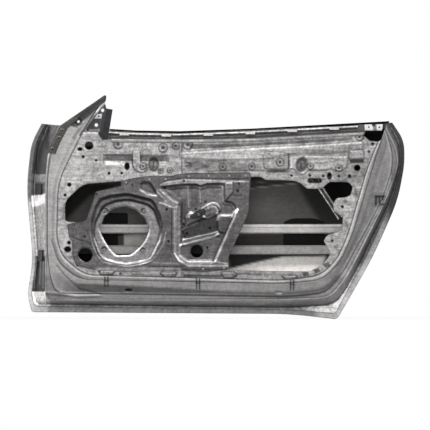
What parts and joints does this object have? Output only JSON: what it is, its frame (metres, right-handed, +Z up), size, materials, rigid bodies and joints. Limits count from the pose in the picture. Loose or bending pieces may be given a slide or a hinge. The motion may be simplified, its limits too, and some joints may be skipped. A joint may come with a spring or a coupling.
{
  "type": "car door shell",
  "caption": "Stripped aluminium shell of a frameless front car door, cabin side with impact beams, module carrier and speaker seat",
  "frame": {"origin": "centre of the upper hinge plate's outer face", "axes": "+X from the hinge side to the latch side, +Y from the cabin side to the outer skin, +Z up"},
  "size_m": [1.3602, 0.1561, 0.8067],
  "materials": {
    "bare_metal": "bare pressed aluminium sheet, grey and grimy",
    "carrier_metal": "pressed sheet, stained dark grey",
    "dark_steel": "dark coated steel",
    "coated_steel": "olive grey coated steel",
    "zinc": "dull zinc-plated steel",
    "rubber": "black rubber",
    "black_plastic": "black moulded plastic",
    "damping": "black self-adhesive damping sheet"
  },
  "bodies": {
    "root": {"a_pillar_strip": "coated_steel", "belt_clip_1": "zinc", "belt_clip_2": "zinc", "belt_clip_3": "zinc", "belt_clip_4": "zinc", "belt_clip_5": "zinc", "belt_clip_6": "zinc", "belt_plate": "bare_metal", "belt_seal": "rubber", "carrier_plate": "carrier_metal", "carrier_rivet_1": "bare_metal", "carrier_rivet_2": "bare_metal", "carrier_rivet_3": "bare_metal", "carrier_rivet_4": "bare_metal", "carrier_rivet_5": "bare_metal", "carrier_rivet_6": "bare_metal", "carrier_rivet_7": "bare_metal", "carrier_rivet_8": "bare_metal", "carrier_rivet_9": "bare_metal", "front_damping_pad": "damping", "front_glass_channel": "dark_steel", "inner_panel": "bare_metal", "latch_plate": "bare_metal", "lower_beam_front_bracket": "bare_metal", "lower_beam_rear_bracket": "bare_metal", "lower_hinge_plate": "dark_steel", "lower_impact_beam": "bare_metal", "mirror_bracket": "dark_steel", "outer_belt_reinforcement": "bare_metal", "outer_skin": "bare_metal", "rear_belt_bracket": "bare_metal", "rear_damping_pad": "damping", "rear_glass_rail": "zinc", "regulator_bolt_1": "zinc", "regulator_bolt_2": "zinc", "regulator_clamp": "black_plastic", "speaker_nut_1": "zinc", "speaker_nut_2": "zinc", "speaker_nut_3": "zinc", "speaker_nut_4": "zinc", "upper_beam_front_bracket": "bare_metal", "upper_beam_rear_bracket": "bare_metal", "upper_hinge_plate": "dark_steel", "upper_impact_beam": "bare_metal"}
  },
  "joints": []
}
